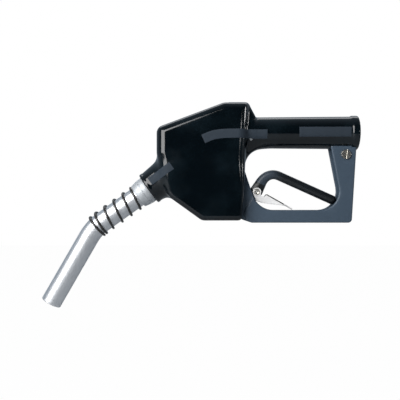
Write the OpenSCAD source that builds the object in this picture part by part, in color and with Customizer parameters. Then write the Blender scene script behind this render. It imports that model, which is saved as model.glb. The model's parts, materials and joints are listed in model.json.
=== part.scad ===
// Automatic shut-off fuel nozzle: body, cover, guard, lever, valve train, trip unit and spout.
// Millimetres. The origin is the centre of the hose inlet's mouth, +X points out of the inlet,
// +Z is up and the plane Y = 0 cuts the nozzle in half.

/* [Hose inlet and grip] */
// Radius of the hose thread's bore
inlet_r = 12.3; // [11.5:0.1:12.8]
// Depth of the hose thread
inlet_len = 20; // [16:1:24]
// Radius of the cover's rolled collar
collar_r = 20; // [19.5:0.5:21]
// Radius of the covered grip beside the collar
grip_r_back = 19; // [18.5:0.1:19.2]
// Radius of the covered grip beside the body
grip_r_front = 17.9; // [17.5:0.1:18.5]
// Radius of the fuel passage in the grip
passage_r = 10; // [8:0.5:10.5]

/* [Body] */
// Half the width of the covered body
half_w = 27; // [26:0.5:30]
// Rounding of the body's side edges
edge_r = 11; // [9:0.5:12]
// Wall of the moulded cover
cover_t = 1.8; // [1.6:0.1:2]
// Gap between the cover and the casting
cover_gap = 0.3; // [0.2:0.1:0.4]

/* [Main valve] */
// X of the stem's axis
stem_x = -151; // [-152:0.5:-150]
// Radius of the valve stem
stem_r = 3; // [2.8:0.1:3.2]
// Radius of the valve chamber
chamber_r = 11; // [10.5:0.5:11.5]

/* [Lever and trip unit] */
// Place of the lever's pivot
pivot = [-166, -83]; // [-170:1:-60]
// Distance from the pivot up the plunger's axis to the cover
trip_len = 105.6; // [105:0.1:106]
// Lean of the plunger's axis from upright, in degrees
trip_lean = 20.8; // [20.5:0.1:21]
// Radius of the plunger
plunger_r = 5; // [4.8:0.1:5.1]
// Radius of the lever's round bar
bar_r = 5.3; // [5:0.1:5.4]
// Place of the hold-open clip's rivet
rivet_at = [-117.6, -69]; // [-120:0.1:-60]

/* [Guard] */
// Half the width of the guard
guard_w = 11; // [10.5:0.5:11.5]
// Half the width of the guard's channel
channel_w = 8; // [7.9:0.1:8.2]
// Place of the guard's rear screw
screw_at = [-15.2, -25.7]; // [-26:0.1:-15]

/* [Spout] */
// Centre of the spout socket's mouth
socket_at = [-243.7, -65.5]; // [-250:0.1:-60]
// Angle of the socket's axis below level, in degrees
socket_dip = 35.5; // [35:0.5:36]
// Outer radius of the spout tube
tube_r = 11.9; // [11.9:0.1:12]
// Wall of the spout tube
tube_t = 1.5; // [1.2:0.1:1.8]
// Length of tube from the socket's mouth to the bend
tube_len = 65.5; // [60:0.5:70]
// Radius of the bend on the tube's axis
bend_r = 59; // [50:1:70]
// Angle of the bend, in degrees
bend_a = 24.5; // [20:0.5:30]
// Length of tube from the bend to the tip
tip_len = 88; // [80:1:95]
// Pitch of the anchor spring
anchor_pitch = 13; // [12:0.5:14]

/* [Hidden] */
$fn = 64;
eps = 0.01;
run_gap = 0.05;
casting_in = cover_t + cover_gap;

// Z levels of the main valve
cap_top = 28;
cap_seat = 24;
seal_t = 1;
seat_top = -13;
seat_t = 5;
lower_floor = -38;
packing_top = -40;
gland_top = -46;
gland_end = -60;
cavity_top = -61;
pad_z = pivot[1] + 5;
stem_end = pad_z + 0.15;
flow_z = -31;
flow_y = 11.5;
flow_r = 5;

// Depths along the trip axis, measured down from the cover
cap_depth = 2.6;
diaphragm_depth = 11;
latch_depth = 17;
spring_depth = 25;
spring_end = 43;
guide_depth = 58;
cap_r = 15;
trip_chamber_r = 10.5;
plunger_end = trip_len + 5.5;

// Distances along the spout axis, out of the socket's mouth
nut_len = 15.2;
nut_in = 16;
flange_t = 4;
cartridge_in = 42;
outlet_in = 55;
outlet_r = 13;
wire_r = 1.35;

// ---------- helpers ----------

function unit(v) = v / norm(v);

// The arc that rounds the corner c between a and b to radius r, as n + 1 points
function corner(a, c, b, r, n = 8) =
    let (u = unit(a - c), v = unit(b - c), half = acos(u * v) / 2,
         o = c + unit(u + v) * r / sin(half),
         p = c + u * r / tan(half) - o,
         q = c + v * r / tan(half) - o,
         start = atan2(p[1], p[0]),
         full = atan2(q[1], q[0]) - start,
         sweep = full > 180 ? full - 360 : full < -180 ? full + 360 : full)
    [for (i = [0:n]) o + r * [cos(start + sweep * i / n), sin(start + sweep * i / n)]];

// A closed outline with every corner [x, z, radius] rounded
function rounded(pts, n = 8) =
    let (m = len(pts), xz = [for (p = pts) [p[0], p[1]]])
    [for (i = [0:m - 1]) each pts[i][2] == 0
        ? [xz[i]]
        : corner(xz[(i + m - 1) % m], xz[i], xz[(i + 1) % m], pts[i][2], n)];

// The same corners with every edge moved in by cut
function drawn_in(pts, cut) =
    let (m = len(pts), xz = [for (p = pts) [p[0], p[1]]])
    [for (i = [0:m - 1])
        let (u = unit(xz[(i + m - 1) % m] - xz[i]), v = unit(xz[(i + 1) % m] - xz[i]),
             c = xz[i] + unit(u + v) * cut / sin(acos(u * v) / 2))
        [c[0], c[1], max(pts[i][2] - cut, 1.5)]];

// A solid with the outline drawn in X and Z, from y0 to y1
module side_plate(y0, y1) translate([0, y1, 0]) rotate([90, 0, 0])
    linear_extrude(y1 - y0) children();

// Two plates mirrored about the mid-plane
module both_sides() {
    children();
    mirror([0, 1, 0]) children();
}

// A cylinder across the nozzle at [x, z]
module cross_rod(at, r, y0, y1) translate([at[0], y0, at[1]]) rotate([-90, 0, 0])
    cylinder(r = r, h = y1 - y0);

// A cylinder along the grip from x0 to x1
module grip_rod(x0, x1, r0, r1) translate([x0, 0, 0]) rotate([0, 90, 0])
    cylinder(r1 = r0, r2 = r1, h = x1 - x0);

// The stem's frame: Z up, origin on the stem's axis at Z = 0
module at_stem() translate([stem_x, 0, 0]) children();

// The trip unit's frame: origin on the cover, local -Z runs down the plunger
module at_trip() translate([pivot[0] - trip_len * sin(trip_lean), 0,
    pivot[1] + trip_len * cos(trip_lean)]) rotate([0, -trip_lean, 0]) children();

// The spout's frame: origin at the socket's mouth, local +Z runs out along the spout
module at_spout() translate([socket_at[0], 0, socket_at[1]])
    rotate([0, -90 - socket_dip, 0]) children();

// The frame at the end of the bend
module past_bend() translate([-bend_r, 0, tube_len]) rotate([0, -bend_a, 0])
    translate([bend_r, 0, 0]) children();

// A disc or sleeve between two depths below the local origin
module below(top, bottom, r) translate([0, 0, -bottom]) cylinder(r = r, h = bottom - top);

module tube_between(z0, z1, r_out, r_in) difference() {
    translate([0, 0, z0]) cylinder(r = r_out, h = z1 - z0);
    translate([0, 0, z0 - 1]) cylinder(r = r_in, h = z1 - z0 + 2);
}

module ring_seal(ring_r, cord_r) rotate_extrude() translate([ring_r, 0]) circle(cord_r, $fn = 24);

// A closed skin over rings of points that follow each other, sides points to a ring
module skinned(points, sides) {
    last = len(points) / sides - 1;
    walls = [for (i = [0:last - 1]) for (j = [0:sides - 1])
        let (k = (j + 1) % sides)
        [i * sides + j, i * sides + k, (i + 1) * sides + k, (i + 1) * sides + j]];
    near = [for (j = [sides - 1:-1:0]) j];
    far = [for (j = [0:sides - 1]) last * sides + j];
    polyhedron(points, concat(walls, [near, far]));
}

// A round wire wound on a cylinder: coil radius, wire radius, height and turns
module coil(coil_r, wire, height, turns, steps = 16, sides = 8) {
    rings = ceil(turns * steps);
    skinned([for (i = [0:rings]) for (j = [0:sides - 1])
        let (a = 360 * turns * i / rings, b = 360 * j / sides, r = coil_r + wire * cos(b))
        [r * cos(a), r * sin(a), height * i / rings + wire * sin(b)]], sides);
}

// A round bar of radius r along flat points [x, z]
module bent_bar(path, r, sides = 16) {
    m = len(path);
    skinned([for (i = [0:m - 1])
        let (t = unit(path[min(i + 1, m - 1)] - path[max(i - 1, 0)]), n = [-t[1], t[0]])
        for (j = [0:sides - 1])
            let (b = 360 * j / sides)
            [path[i][0] + r * cos(b) * n[0], r * sin(b), path[i][1] + r * cos(b) * n[1]]], sides);
}

// ---------- the body's form ----------

// Side outline of the body: [x, z, corner radius]
block_corners = [
    [-233.4, 4.6, 8], [-156.5, 33.3, 12], [-129, 33.3, 4], [-135.7, -101.8, 5],
    [-181.5, -101.8, 10], [-219, -74, 14], [-233.4, -24, 16]];

// Centres of the rounded bump over the valve cap: [x, z]
bump_centres = [[-148, 24], [-131.6, 28.3], [-125.4, 16.8], [-127, 0]];
bump_r = 5;
bump_w = 17;

// A ring of points round the body: its side outline drawn in by cut, at y
function block_ring(cut, y) =
    [for (p = rounded(drawn_in(block_corners, cut), 4)) [p[0], y, p[1]]];

// The block, skinned over rings that shrink round its rounded side edges
module main_block(inset) {
    round_r = edge_r - inset;
    flat_w = half_w - edge_r;
    turns = [for (a = [-90:22.5:90]) each a == 0 ? [[-1, 0], [1, 0]] : [[sign(a), abs(a)]]];
    rings = [for (t = turns)
        block_ring(inset + round_r * (1 - cos(t[1])), t[0] * (flat_w + round_r * sin(t[1])))];
    m = len(rings[0]);
    last = len(rings) - 1;
    walls = [for (i = [0:last - 1]) for (j = [0:m - 1])
        let (k = (j + 1) % m)
        each [[i * m + j, (i + 1) * m + j, (i + 1) * m + k],
              [i * m + j, (i + 1) * m + k, i * m + k]]];
    near = [for (j = [0:m - 1]) j];
    far = [for (j = [m - 1:-1:0]) last * m + j];
    polyhedron([for (r = rings) each r], concat(walls, [near, far]));
}

module bump(inset) hull()
    for (side = [-1, 1])
        for (c = bump_centres)
            translate([c[0], side * (bump_w - bump_r), c[1]])
                sphere(r = bump_r - inset, $fn = 24);

// The body's sides narrow into the round grip
module shoulder(inset) hull() {
    grip_rod(-112, -111.5, grip_r_front - inset, grip_r_front - inset);
    for (side = [-1, 1])
        for (z = [-7, 7])
            translate([-157, side * 16, z]) rotate([0, 90, 0])
                cylinder(r = 10 - inset, h = 1, $fn = 32);
}

// The hollow curve between the grip's underside and the body's rear face
module arch(inset) {
    z = -grip_r_front + inset - 0.4;
    x = -133.8 - inset;
    side_plate(-12 + inset, 12 - inset)
        polygon(concat(corner([-90, z], [x, z], [x, -60], 20 - inset, 10),
            [[x - 6, z - 20], [x - 6, 0], [-112, 0]]));
}

module socket_cone(inset) at_spout() translate([0, 0, -45])
    cylinder(r1 = 23.4 - inset, r2 = 18.65 - inset, h = 45);

module body_form(inset) {
    main_block(inset);
    bump(inset);
    shoulder(inset);
    arch(inset);
    grip_rod(-140, -8 + inset, grip_r_front - inset, grip_r_back - inset);
    grip_rod(-8 + inset, 0, collar_r - inset, collar_r - inset);
    socket_cone(inset);
}

// ---------- body, cover and guard ----------

module body_casting() color("silver") difference() {
    union() {
        body_form(casting_in);
        translate([-23, -channel_w + 0.2, -32]) cube([15, 2 * channel_w - 0.4, 20]);
    }
    grip_rod(-inlet_len, 1, inlet_r, inlet_r);
    grip_rod(stem_x, -inlet_len + eps, passage_r, passage_r);
    at_stem() {
        translate([0, 0, seat_top - seat_t]) cylinder(r = chamber_r, h = 60);
        translate([0, 0, cap_seat - seal_t]) cylinder(r = 13.2, h = 20);
        translate([0, 0, lower_floor]) cylinder(r = 9.5, h = 30);
        translate([0, 0, packing_top - 1]) cylinder(r = stem_r + 0.3, h = 10);
        translate([0, 0, cavity_top - 1]) cylinder(r = 7.5, h = packing_top - cavity_top + 1);
    }
    both_sides() translate([stem_x, flow_y, flow_z]) rotate([0, -90, 0])
        cylinder(r = flow_r, h = 61);
    at_trip() {
        below(-6, diaphragm_depth + 1, cap_r + 0.1);
        below(diaphragm_depth, latch_depth, trip_chamber_r);
        below(latch_depth - 1, spring_depth, 9);
        below(spring_depth - 1, spring_end, 7.6);
        below(spring_end - 1, guide_depth + 1, plunger_r + run_gap);
        below(guide_depth, plunger_end - 19, 8);
        cap_screw_places() below(diaphragm_depth, 19, 1.5);
    }
    at_spout() translate([0, 0, -outlet_in]) cylinder(r = outlet_r, h = outlet_in + 1);
    translate([-211, 0, -34]) cylinder(r = 1.5, h = 42);
    lever_cavity();
    cross_rod(screw_at, 2.5, -20, 20);
    both_sides() cross_rod([-146, -94], 2.5, 8, 20);
    both_sides() side_plate(16, 30) polygon(rounded([
        [-206, -66, 5], [-158, -66, 5], [-158, -92, 5], [-184, -92, 5]]));
}

// The room that the lever's front end moves in
module lever_cavity() {
    side_plate(-8.6, 8.6) polygon([[-176, cavity_top], [-143, cavity_top], [-141, -50],
        [-120, -50], [-120, -110], [-176, -110]]);
    side_plate(-10.2, 10.2) polygon([[-153, -87], [-120, -87], [-120, -110], [-153, -110]]);
    side_plate(-guard_w - 0.3, guard_w + 0.3)
        polygon([[-138.2, -38], [-120, -38], [-120, -110], [-138.2, -110]]);
}

module body_cover() color("#16181c") difference() {
    body_form(0);
    body_form(cover_t);
    grip_rod(-1, 1, collar_r - cover_t, collar_r - cover_t);
    at_spout() translate([0, 0, -1]) cylinder(r = 18.65 - cover_t, h = 2);
    translate([-142, -11.3, -99.5]) cube([12, 22.6, 62]);
    translate([-24, -channel_w, -30]) cube([17, 2 * channel_w, 15]);
}

guard_outline = rounded([
    [-2.4, -10, 0], [-8.4, -104.7, 4.5], [-124, -104.7, 6], [-134.5, -101.2, 4],
    [-137.9, -99, 0], [-137.9, -38.6, 0], [-133.9, -38.6, 1.5], [-117, -90.1, 26],
    [-18.4, -90.1, 22], [-34.1, -10, 0]]);

// The guard is an open channel, so its outer edge is a web and its two sides are cheeks
channel_outline = rounded([
    [-6.6, -10, 0], [-12, -103, 3], [-140, -103, 0], [-140, -46, 0],
    [-115, -46, 0], [-60, -60, 0], [-40, -10, 0]]);

module lever_guard() color("#3c4856") difference() {
    union() {
        side_plate(-guard_w, guard_w) polygon(guard_outline);
        both_sides() side_plate(channel_w, guard_w - 1)
            polygon(rounded([[-152, -88.5, 3], [-137, -88.5, 0], [-137, -98.8, 0],
                [-152, -98.8, 3]]));
    }
    side_plate(-channel_w, channel_w) polygon(channel_outline);
    grip_rod(-60, 2, grip_r_back + 0.25, grip_r_back + 0.25);
    grip_rod(-8.3, 2, collar_r + 0.25, collar_r + 0.25);
    both_sides() side_plate(guard_w - 1, guard_w + 1) polygon([[-160, -30], [-124, -30],
        [-119.5, -70], [-123, -76], [-131, -88], [-133, -95], [-130, -102], [-130, -110],
        [-160, -110]]);
    cross_rod(screw_at, 2.5, -20, 20);
    both_sides() cross_rod([-146, -94], 2.5, 7, 20);
}

module guard_screw() color("gainsboro") difference() {
    union() {
        cross_rod(screw_at, 2.5, -guard_w - 1, guard_w + 3.4);
        cross_rod(screw_at, 5.5, -guard_w - 2, -guard_w);
    }
    translate([screw_at[0], -guard_w - 2, screw_at[1]]) rotate([0, 8, 0])
        cube([1.4, 2, 14], center = true);
}

module guard_screw_nut() color("gainsboro") difference() {
    translate([screw_at[0], guard_w, screw_at[1]]) rotate([-90, 0, 0])
        cylinder(r = 5, h = 3, $fn = 6);
    cross_rod(screw_at, 2.5, 0, 20);
}

module guard_front_pins() color("gainsboro")
    both_sides() cross_rod([-146, -94], 2.5, channel_w, 20);

// ---------- main valve ----------

module poppet_cap() color("goldenrod") at_stem() difference() {
    union() {
        translate([0, 0, cap_seat]) cylinder(r = 13, h = 2);
        translate([0, 0, cap_seat + 2]) cylinder(r = 11.5, h = cap_top - cap_seat - 2, $fn = 6);
        translate([0, 0, 14]) cylinder(r = chamber_r, h = 11);
    }
    translate([0, 0, 13]) cylinder(r = 9, h = 9);
}

module cap_seal() color("#222") at_stem()
    tube_between(cap_seat - seal_t, cap_seat, 12.9, chamber_r + 0.1);

module poppet_spring() color("lightgrey") at_stem() translate([0, 0, -3.2])
    coil(7.4, 0.7, 24.4, 6);

module main_poppet() color("goldenrod") at_stem() {
    tube_between(-10, -4, 9.8, stem_r);
    tube_between(-4, -2.5, 6, stem_r);
}

module poppet_disc() color("#222") at_stem() tube_between(seat_top, -10, 9.6, stem_r);

module disc_retainer() color("goldenrod") at_stem()
    tube_between(seat_top - 2, seat_top, 7, stem_r);

module poppet_nut() color("silver") at_stem() difference() {
    translate([0, 0, -2.5]) cylinder(r = 5.4, h = 4.5, $fn = 6);
    translate([0, 0, -4]) cylinder(r = stem_r, h = 10);
}

module main_stem() color("gainsboro") at_stem() {
    translate([0, 0, stem_end + stem_r]) cylinder(r = stem_r, h = 3 - stem_end - stem_r);
    translate([0, 0, stem_end + stem_r]) sphere(r = stem_r);
}

module seat_ring() color("goldenrod") at_stem()
    tube_between(seat_top - seat_t, seat_top, chamber_r, 8);

module stem_packing() color("#333") at_stem()
    tube_between(gland_top, packing_top, 7.4, stem_r + run_gap);

module gland_nut() color("goldenrod") at_stem() difference() {
    union() {
        translate([0, 0, gland_end + 5]) cylinder(r = 7.5, h = gland_top - gland_end - 5);
        translate([0, 0, gland_end]) cylinder(r = 7.4, h = 5, $fn = 6);
    }
    translate([0, 0, gland_end - 1]) cylinder(r = stem_r + run_gap, h = 30);
}

// ---------- trip unit ----------

module plunger() color("gainsboro") difference() {
    at_trip() difference() {
        below(latch_depth + 1, plunger_end, plunger_r);
        below(latch_depth - 1, 34, 3.1);
        for (i = [0:2]) rotate([0, 0, 120 * i]) translate([0, 0, -21]) rotate([0, 90, 0])
            cylinder(r = 1.6, h = 10);
    }
    cross_rod(pivot, 2.5, -20, 20);
}

module plunger_ring() color("gainsboro") at_trip()
    tube_between(-28, -26, 7, plunger_r);

module plunger_spring() color("lightgrey") at_trip() translate([0, 0, -42.2])
    coil(6.2, 0.6, 13.4, 4);

module plunger_guide() color("goldenrod") at_trip() difference() {
    union() {
        below(guide_depth + 3, guide_depth + 14, 8);
        below(guide_depth + 14, guide_depth + 17, 7.9);
    }
    below(guide_depth, guide_depth + 20, plunger_r + run_gap);
}

module guide_seal() color("#222") at_trip()
    tube_between(-guide_depth - 3, -guide_depth, 7.9, plunger_r + run_gap);

module latch_ring() color("goldenrod") at_trip()
    tube_between(-spring_depth, -latch_depth, 9, plunger_r + run_gap);

module latch_balls() color("gainsboro") at_trip()
    for (i = [0:2]) rotate([0, 0, 120 * i]) translate([3.4, 0, -21]) sphere(r = 1.45);

module latch_pin() color("gainsboro") at_trip() {
    below(14.5, 18.5, 3);
    below(18.4, 30, 1.8);
    below(9, 14.6, 1.8);
}

module diaphragm_plates() color("silver") at_trip() {
    tube_between(-diaphragm_depth, -diaphragm_depth + 0.8, 7, 1.8);
    tube_between(-diaphragm_depth - 1.8, -diaphragm_depth - 1, 7, 1.8);
}

module diaphragm() color("#2a2a2a") at_trip() difference() {
    tube_between(-diaphragm_depth - 1, -diaphragm_depth, cap_r, 1.9);
    cap_screw_places() below(diaphragm_depth - 1, diaphragm_depth + 2, 1.6);
}

module diaphragm_spring() color("lightgrey") at_trip()
    translate([0, 0, -diaphragm_depth + 1.1]) coil(4.5, 0.25, 3.6, 2.5);

module cap_screw_places() for (i = [0:3]) rotate([0, 0, 45 + 90 * i])
    translate([12.6, 0, 0]) children();

module diaphragm_cap() color("silver") at_trip() difference() {
    below(cap_depth + 1.4, diaphragm_depth, cap_r);
    below(cap_depth + 3.4, diaphragm_depth + 1, trip_chamber_r);
    cap_screw_places() below(0, diaphragm_depth + 1, 1.5);
}

module diaphragm_cap_screws() color("gainsboro") at_trip() cap_screw_places() difference() {
    union() {
        below(cap_depth + 0.1, cap_depth + 1.4, 2.2);
        below(cap_depth + 1, 18.8, 1.5);
    }
    translate([0, 0, -cap_depth - 0.2]) cube([0.6, 6, 1], center = true);
}

// ---------- lever and hold-open clip ----------

lever_foot = [-117.4, -68.5];
lever_top = [-106.4, -43.6];
lever_tail = [-29.5, -78.2];

module lever_pin() color("gainsboro") cross_rod(pivot, 2.5, -7.9, 7.9);

module lever() color("#20242a") difference() {
    union() {
        bent_bar(concat([lever_foot], corner(lever_foot, lever_top, lever_tail, 16, 12),
            [lever_tail]), bar_r);
        translate([lever_tail[0], 0, lever_tail[1]]) sphere(r = bar_r - 0.02, $fn = 32);
        side_plate(-7.5, 7.5) polygon(rounded([[-172, -77, 5], [-166, -77, 0],
            [-160, pad_z, 0], [-146, pad_z, 2], [-142, -75.5, 2], [-142, -86, 2],
            [-150, -89.5, 4], [-172, -89.5, 5]]));
        side_plate(-4, 4) polygon(rounded([[-145.5, pad_z, 0], [-139.5, -73.5, 5],
            [-124, -64, 5], [-119.5, -58.5, 2], [-109.5, -62.5, 2], [-111.5, -71, 5],
            [-118, -76.2, 6], [-138, -84, 5], [-148, -89, 0]]));
    }
    side_plate(-plunger_r - 0.2, plunger_r + 0.2) polygon([[-180, -60], [-156.5, -60],
        [-156.5, -100], [-180, -100]]);
    cross_rod(pivot, 2.5 + run_gap, -20, 20);
    cross_rod(rivet_at, 2, -20, 20);
    cross_rod(rivet_at, 3.4, 3.6, 6);
}

module clip_rivet() color("gainsboro") {
    cross_rod(rivet_at, 2, -7, 7);
    both_sides() cross_rod(rivet_at, 3.5, 6.7, 7.6);
}

// One side of the clip: a hub round the rivet and a blade that tapers to the tail
module clip_side() {
    difference() {
        union() {
            cross_rod(rivet_at, 5.2, 5.6, 6.6);
            side_plate(5.6, 6.6) polygon(rounded([[-117, -64.2, 1], [-108, -71.6, 3],
                [-85, -82.2, 0.8], [-85.6, -84.6, 0.8], [-104, -81, 4], [-119.5, -73.6, 1]]));
        }
        cross_rod(rivet_at, 2 + run_gap, 0, 20);
    }
}

module hold_open_clip() color("whitesmoke") {
    both_sides() clip_side();
    side_plate(-6.6, 6.6) polygon([[-104, -80.8], [-85.6, -84.5], [-85.4, -83.6],
        [-104, -79.8]]);
}

module clip_wire() color("silver")
    bent_bar([[-85, -84.2], [-83, -85.1], [-80, -86.8], [-76, -89]], 0.9, 10);

module clip_spring() color("lightgrey") translate([rivet_at[0], 4, rivet_at[1]])
    rotate([-90, 0, 0]) coil(2.9, 0.3, 0.95, 1.25);

// ---------- spout ----------

module check_seat() color("goldenrod") at_spout() difference() {
    union() {
        tube_between(-cartridge_in, -cartridge_in + 6, 12.9, 8);
        tube_between(-cartridge_in, -28, 12.9, 11);
    }
    tube_between(-39.9, -38.1, 14, 11.2);
    for (i = [0:5]) rotate([0, 0, 60 * i + 30]) translate([0, 0, -36.6]) rotate([0, 90, 0])
        cylinder(r = 0.5, h = 20);
}

module check_seal() color("#222") at_spout() translate([0, 0, -39]) ring_seal(12.1, 0.85);

module check_poppet() color("#2a2a2a") at_spout() {
    translate([0, 0, -35.9]) cylinder(r1 = 9.6, r2 = 7, h = 3.4);
    translate([0, 0, -33]) cylinder(r = 2, h = 15);
}

module check_guide() color("goldenrod") at_spout() {
    tube_between(-28, -22, 12.9, 10.4);
    difference() {
        union() {
            for (i = [0:2]) rotate([0, 0, 60 + 120 * i]) translate([0, -1, -25])
                cube([11.5, 2, 3]);
            translate([0, 0, -25]) cylinder(r = 4, h = 3);
        }
        translate([0, 0, -30]) cylinder(r = 2 + run_gap, h = 12);
    }
}

module check_spring() color("lightgrey") at_spout() translate([0, 0, -32.1])
    coil(3.6, 0.3, 6.7, 3);

module spout_seal() color("#222") at_spout() tube_between(-22, -20, 12.9, tube_r - tube_t);

module spout_nut() color("darkgrey") at_spout() difference() {
    union() {
        translate([0, 0, -nut_in]) cylinder(r = 12.9, h = nut_in + 1);
        translate([0, 0, eps]) cylinder(r = 15.9, h = 7);
        translate([0, 0, 7]) cylinder(r1 = 15.9, r2 = 14.1, h = nut_len - 7);
    }
    translate([0, 0, -nut_in - 1]) cylinder(r = tube_r + 0.05, h = 40);
}

// An arc of that radius about the bend's centre, reaching a little way into both straights
lap = 0.05;
function bend_path(rad) = concat([[rad - bend_r, tube_len - lap]],
    [for (a = [0:bend_a / 10:bend_a + eps]) rad * [cos(a), sin(a)] + [-bend_r, tube_len]],
    [rad * [cos(bend_a), sin(bend_a)] + [-bend_r, tube_len] + lap * [-sin(bend_a), cos(bend_a)]]);

module spout_tube() color("#c4c8cc") at_spout() difference() {
    union() {
        translate([0, 0, -nut_in - flange_t]) cylinder(r = 12.8, h = flange_t);
        translate([0, 0, -nut_in - eps]) cylinder(r = tube_r, h = tube_len + nut_in + eps);
        bent_bar(bend_path(bend_r), tube_r - 0.02, 40);
        past_bend() cylinder(r = tube_r, h = tip_len);
    }
    translate([0, 0, -nut_in - flange_t - 1])
        cylinder(r = tube_r - tube_t, h = tube_len + nut_in + flange_t + 1);
    bent_bar(bend_path(bend_r), tube_r - tube_t - 0.02, 40);
    past_bend() cylinder(r = tube_r - tube_t, h = tip_len + 1);
    past_bend() translate([-6, 0, tip_len - 16]) rotate([0, -90, 0]) cylinder(r = 2, h = 12);
}

// The anchor spring's advance along the spout at each turn: its last turn is nearly closed
spring_turns = 5.5;
spring_advance = [[0, 0], [0.2, 0.8], [1, 0.8 + 0.77 * anchor_pitch],
    [4, 0.8 + 3.77 * anchor_pitch], [4.5, 5.6 + 3.77 * anchor_pitch],
    [spring_turns, 9.6 + 3.77 * anchor_pitch]];

// A place at distance d along the spout's line, at radius r and angle a about it
function about_spout(d, r, a) = d < tube_len
    ? [r * cos(a), r * sin(a), d]
    : let (b = (d - tube_len) / bend_r * 180 / PI, x = bend_r + r * cos(a))
        [x * cos(b) - bend_r, r * sin(a), x * sin(b) + tube_len];

module spout_spring() color("#3c3832") at_spout() {
    steps = 24;
    sides = 10;
    skinned([for (i = [0:spring_turns * steps]) for (j = [0:sides - 1])
        let (turn = i / steps, b = -360 * j / sides,
             d = nut_len + wire_r + 0.1 + lookup(turn, spring_advance))
        about_spout(d + wire_r * sin(b), tube_r + wire_r + 0.15 + wire_r * cos(b),
            -360 * turn)], sides);
}

// The vent tube lies against the spout's lower side
vent_off = 6.4;
vent_r = 2.6;

module vent_run(r, more = 0) {
    translate([-vent_off, 0, -nut_in - 2 - more])
        cylinder(r = r, h = tube_len + nut_in + 2 + more);
    bent_bar(bend_path(bend_r - vent_off), r - 0.02, 16);
    past_bend() translate([-vent_off, 0, 0]) cylinder(r = r, h = tip_len - 12 + more);
}

module vent_tube() color("goldenrod") at_spout() difference() {
    vent_run(vent_r);
    vent_run(vent_r - 0.8, 1);
    past_bend() translate([-vent_off, 0, tip_len - 16]) rotate([0, -90, 0])
        cylinder(r = 1.4, h = 20);
}

module vent_port() color("goldenrod") at_spout() past_bend()
    translate([-9.2, 0, tip_len - 16]) rotate([0, -90, 0]) difference() {
        cylinder(r = 2, h = 2.5);
        translate([0, 0, -1]) cylinder(r = 1.1, h = 6);
    }

// ---------- blank label strips ----------

label_t = 0.4;

module body_labels() color("#5d6878") both_sides() side_plate(half_w, half_w + label_t)
    polygon(rounded([[-180, -3.6, 1], [-167, 1.6, 4], [-152, 2.4, 1], [-152, -8, 1],
        [-165, -9.4, 4], [-178, -14.4, 1]]));

// Radius of the covered grip at x
function grip_r(x) = grip_r_front + (grip_r_back - grip_r_front) * (x + 140) / 132;

module grip_labels() color("#5d6878") both_sides() intersection() {
    difference() {
        grip_rod(-70, -10.5, grip_r(-70) + label_t, grip_r(-10.5) + label_t);
        grip_rod(-71, -9, grip_r(-71) + eps, grip_r(-9) + eps);
    }
    translate([-70, 0, -5.6]) cube([59.5, 30, 11.2]);
}

// The part of the body's form round the spout socket
module nose_form(inset) {
    main_block(inset);
    socket_cone(inset);
}

module socket_labels() color("#5d6878") both_sides() intersection() {
    difference() {
        nose_form(-label_t);
        nose_form(-eps);
    }
    at_spout() translate([0.4, 8, -38]) cube([9.4, 30, 31]);
}

body_casting();
body_cover();
lever_guard();
guard_screw();
guard_screw_nut();
guard_front_pins();
poppet_cap();
cap_seal();
poppet_spring();
main_poppet();
poppet_disc();
disc_retainer();
poppet_nut();
main_stem();
seat_ring();
stem_packing();
gland_nut();
plunger();
plunger_ring();
plunger_spring();
plunger_guide();
guide_seal();
latch_ring();
latch_balls();
latch_pin();
diaphragm_plates();
diaphragm();
diaphragm_spring();
diaphragm_cap();
diaphragm_cap_screws();
lever_pin();
lever();
clip_rivet();
hold_open_clip();
clip_wire();
clip_spring();
check_seat();
check_seal();
check_poppet();
check_guide();
check_spring();
spout_seal();
spout_nut();
spout_tube();
spout_spring();
vent_tube();
vent_port();
body_labels();
grip_labels();
socket_labels();
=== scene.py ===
# %% [markdown]
# # An automatic shut-off fuel nozzle
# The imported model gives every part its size, place and joint. This script gives the nozzle
# its looks: a moulded glossy cover, a satin guard, a round lever, a polished bent spout with
# its anchor spring, and a procedural finish on every part. Lengths inside the helpers are in
# millimetres, because the design is, and each mesh is written in metres.

# %% Load the frame
import json
import math

import bmesh
import bpy
import numpy as np
import openvdb
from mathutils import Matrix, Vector


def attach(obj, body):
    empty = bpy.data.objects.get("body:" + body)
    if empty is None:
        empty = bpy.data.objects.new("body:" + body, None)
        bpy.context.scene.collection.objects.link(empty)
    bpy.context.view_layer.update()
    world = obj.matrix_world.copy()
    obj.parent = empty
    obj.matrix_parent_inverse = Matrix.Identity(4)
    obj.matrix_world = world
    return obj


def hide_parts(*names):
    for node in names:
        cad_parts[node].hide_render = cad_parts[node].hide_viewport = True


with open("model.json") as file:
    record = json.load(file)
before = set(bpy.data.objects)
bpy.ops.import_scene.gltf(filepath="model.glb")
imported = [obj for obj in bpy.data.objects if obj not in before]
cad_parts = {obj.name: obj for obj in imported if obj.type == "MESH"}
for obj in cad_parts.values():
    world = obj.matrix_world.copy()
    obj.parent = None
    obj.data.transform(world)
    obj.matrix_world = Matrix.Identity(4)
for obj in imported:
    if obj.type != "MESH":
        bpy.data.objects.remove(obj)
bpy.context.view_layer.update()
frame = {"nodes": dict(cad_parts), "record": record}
MM = 0.001

# %% [markdown]
# ## Camera
# The view is level and square to the nozzle's side. The camera stands about 0.77 m away,
# which gives the end collar its slight bulge, and looks at the middle of the picture.

# %% Camera
VIEW_CENTRE = (-0.1837, -0.0784)
VIEW_DISTANCE = 0.770
VIEW_WIDTH = 0.468
SENSOR = 36.0

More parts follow.
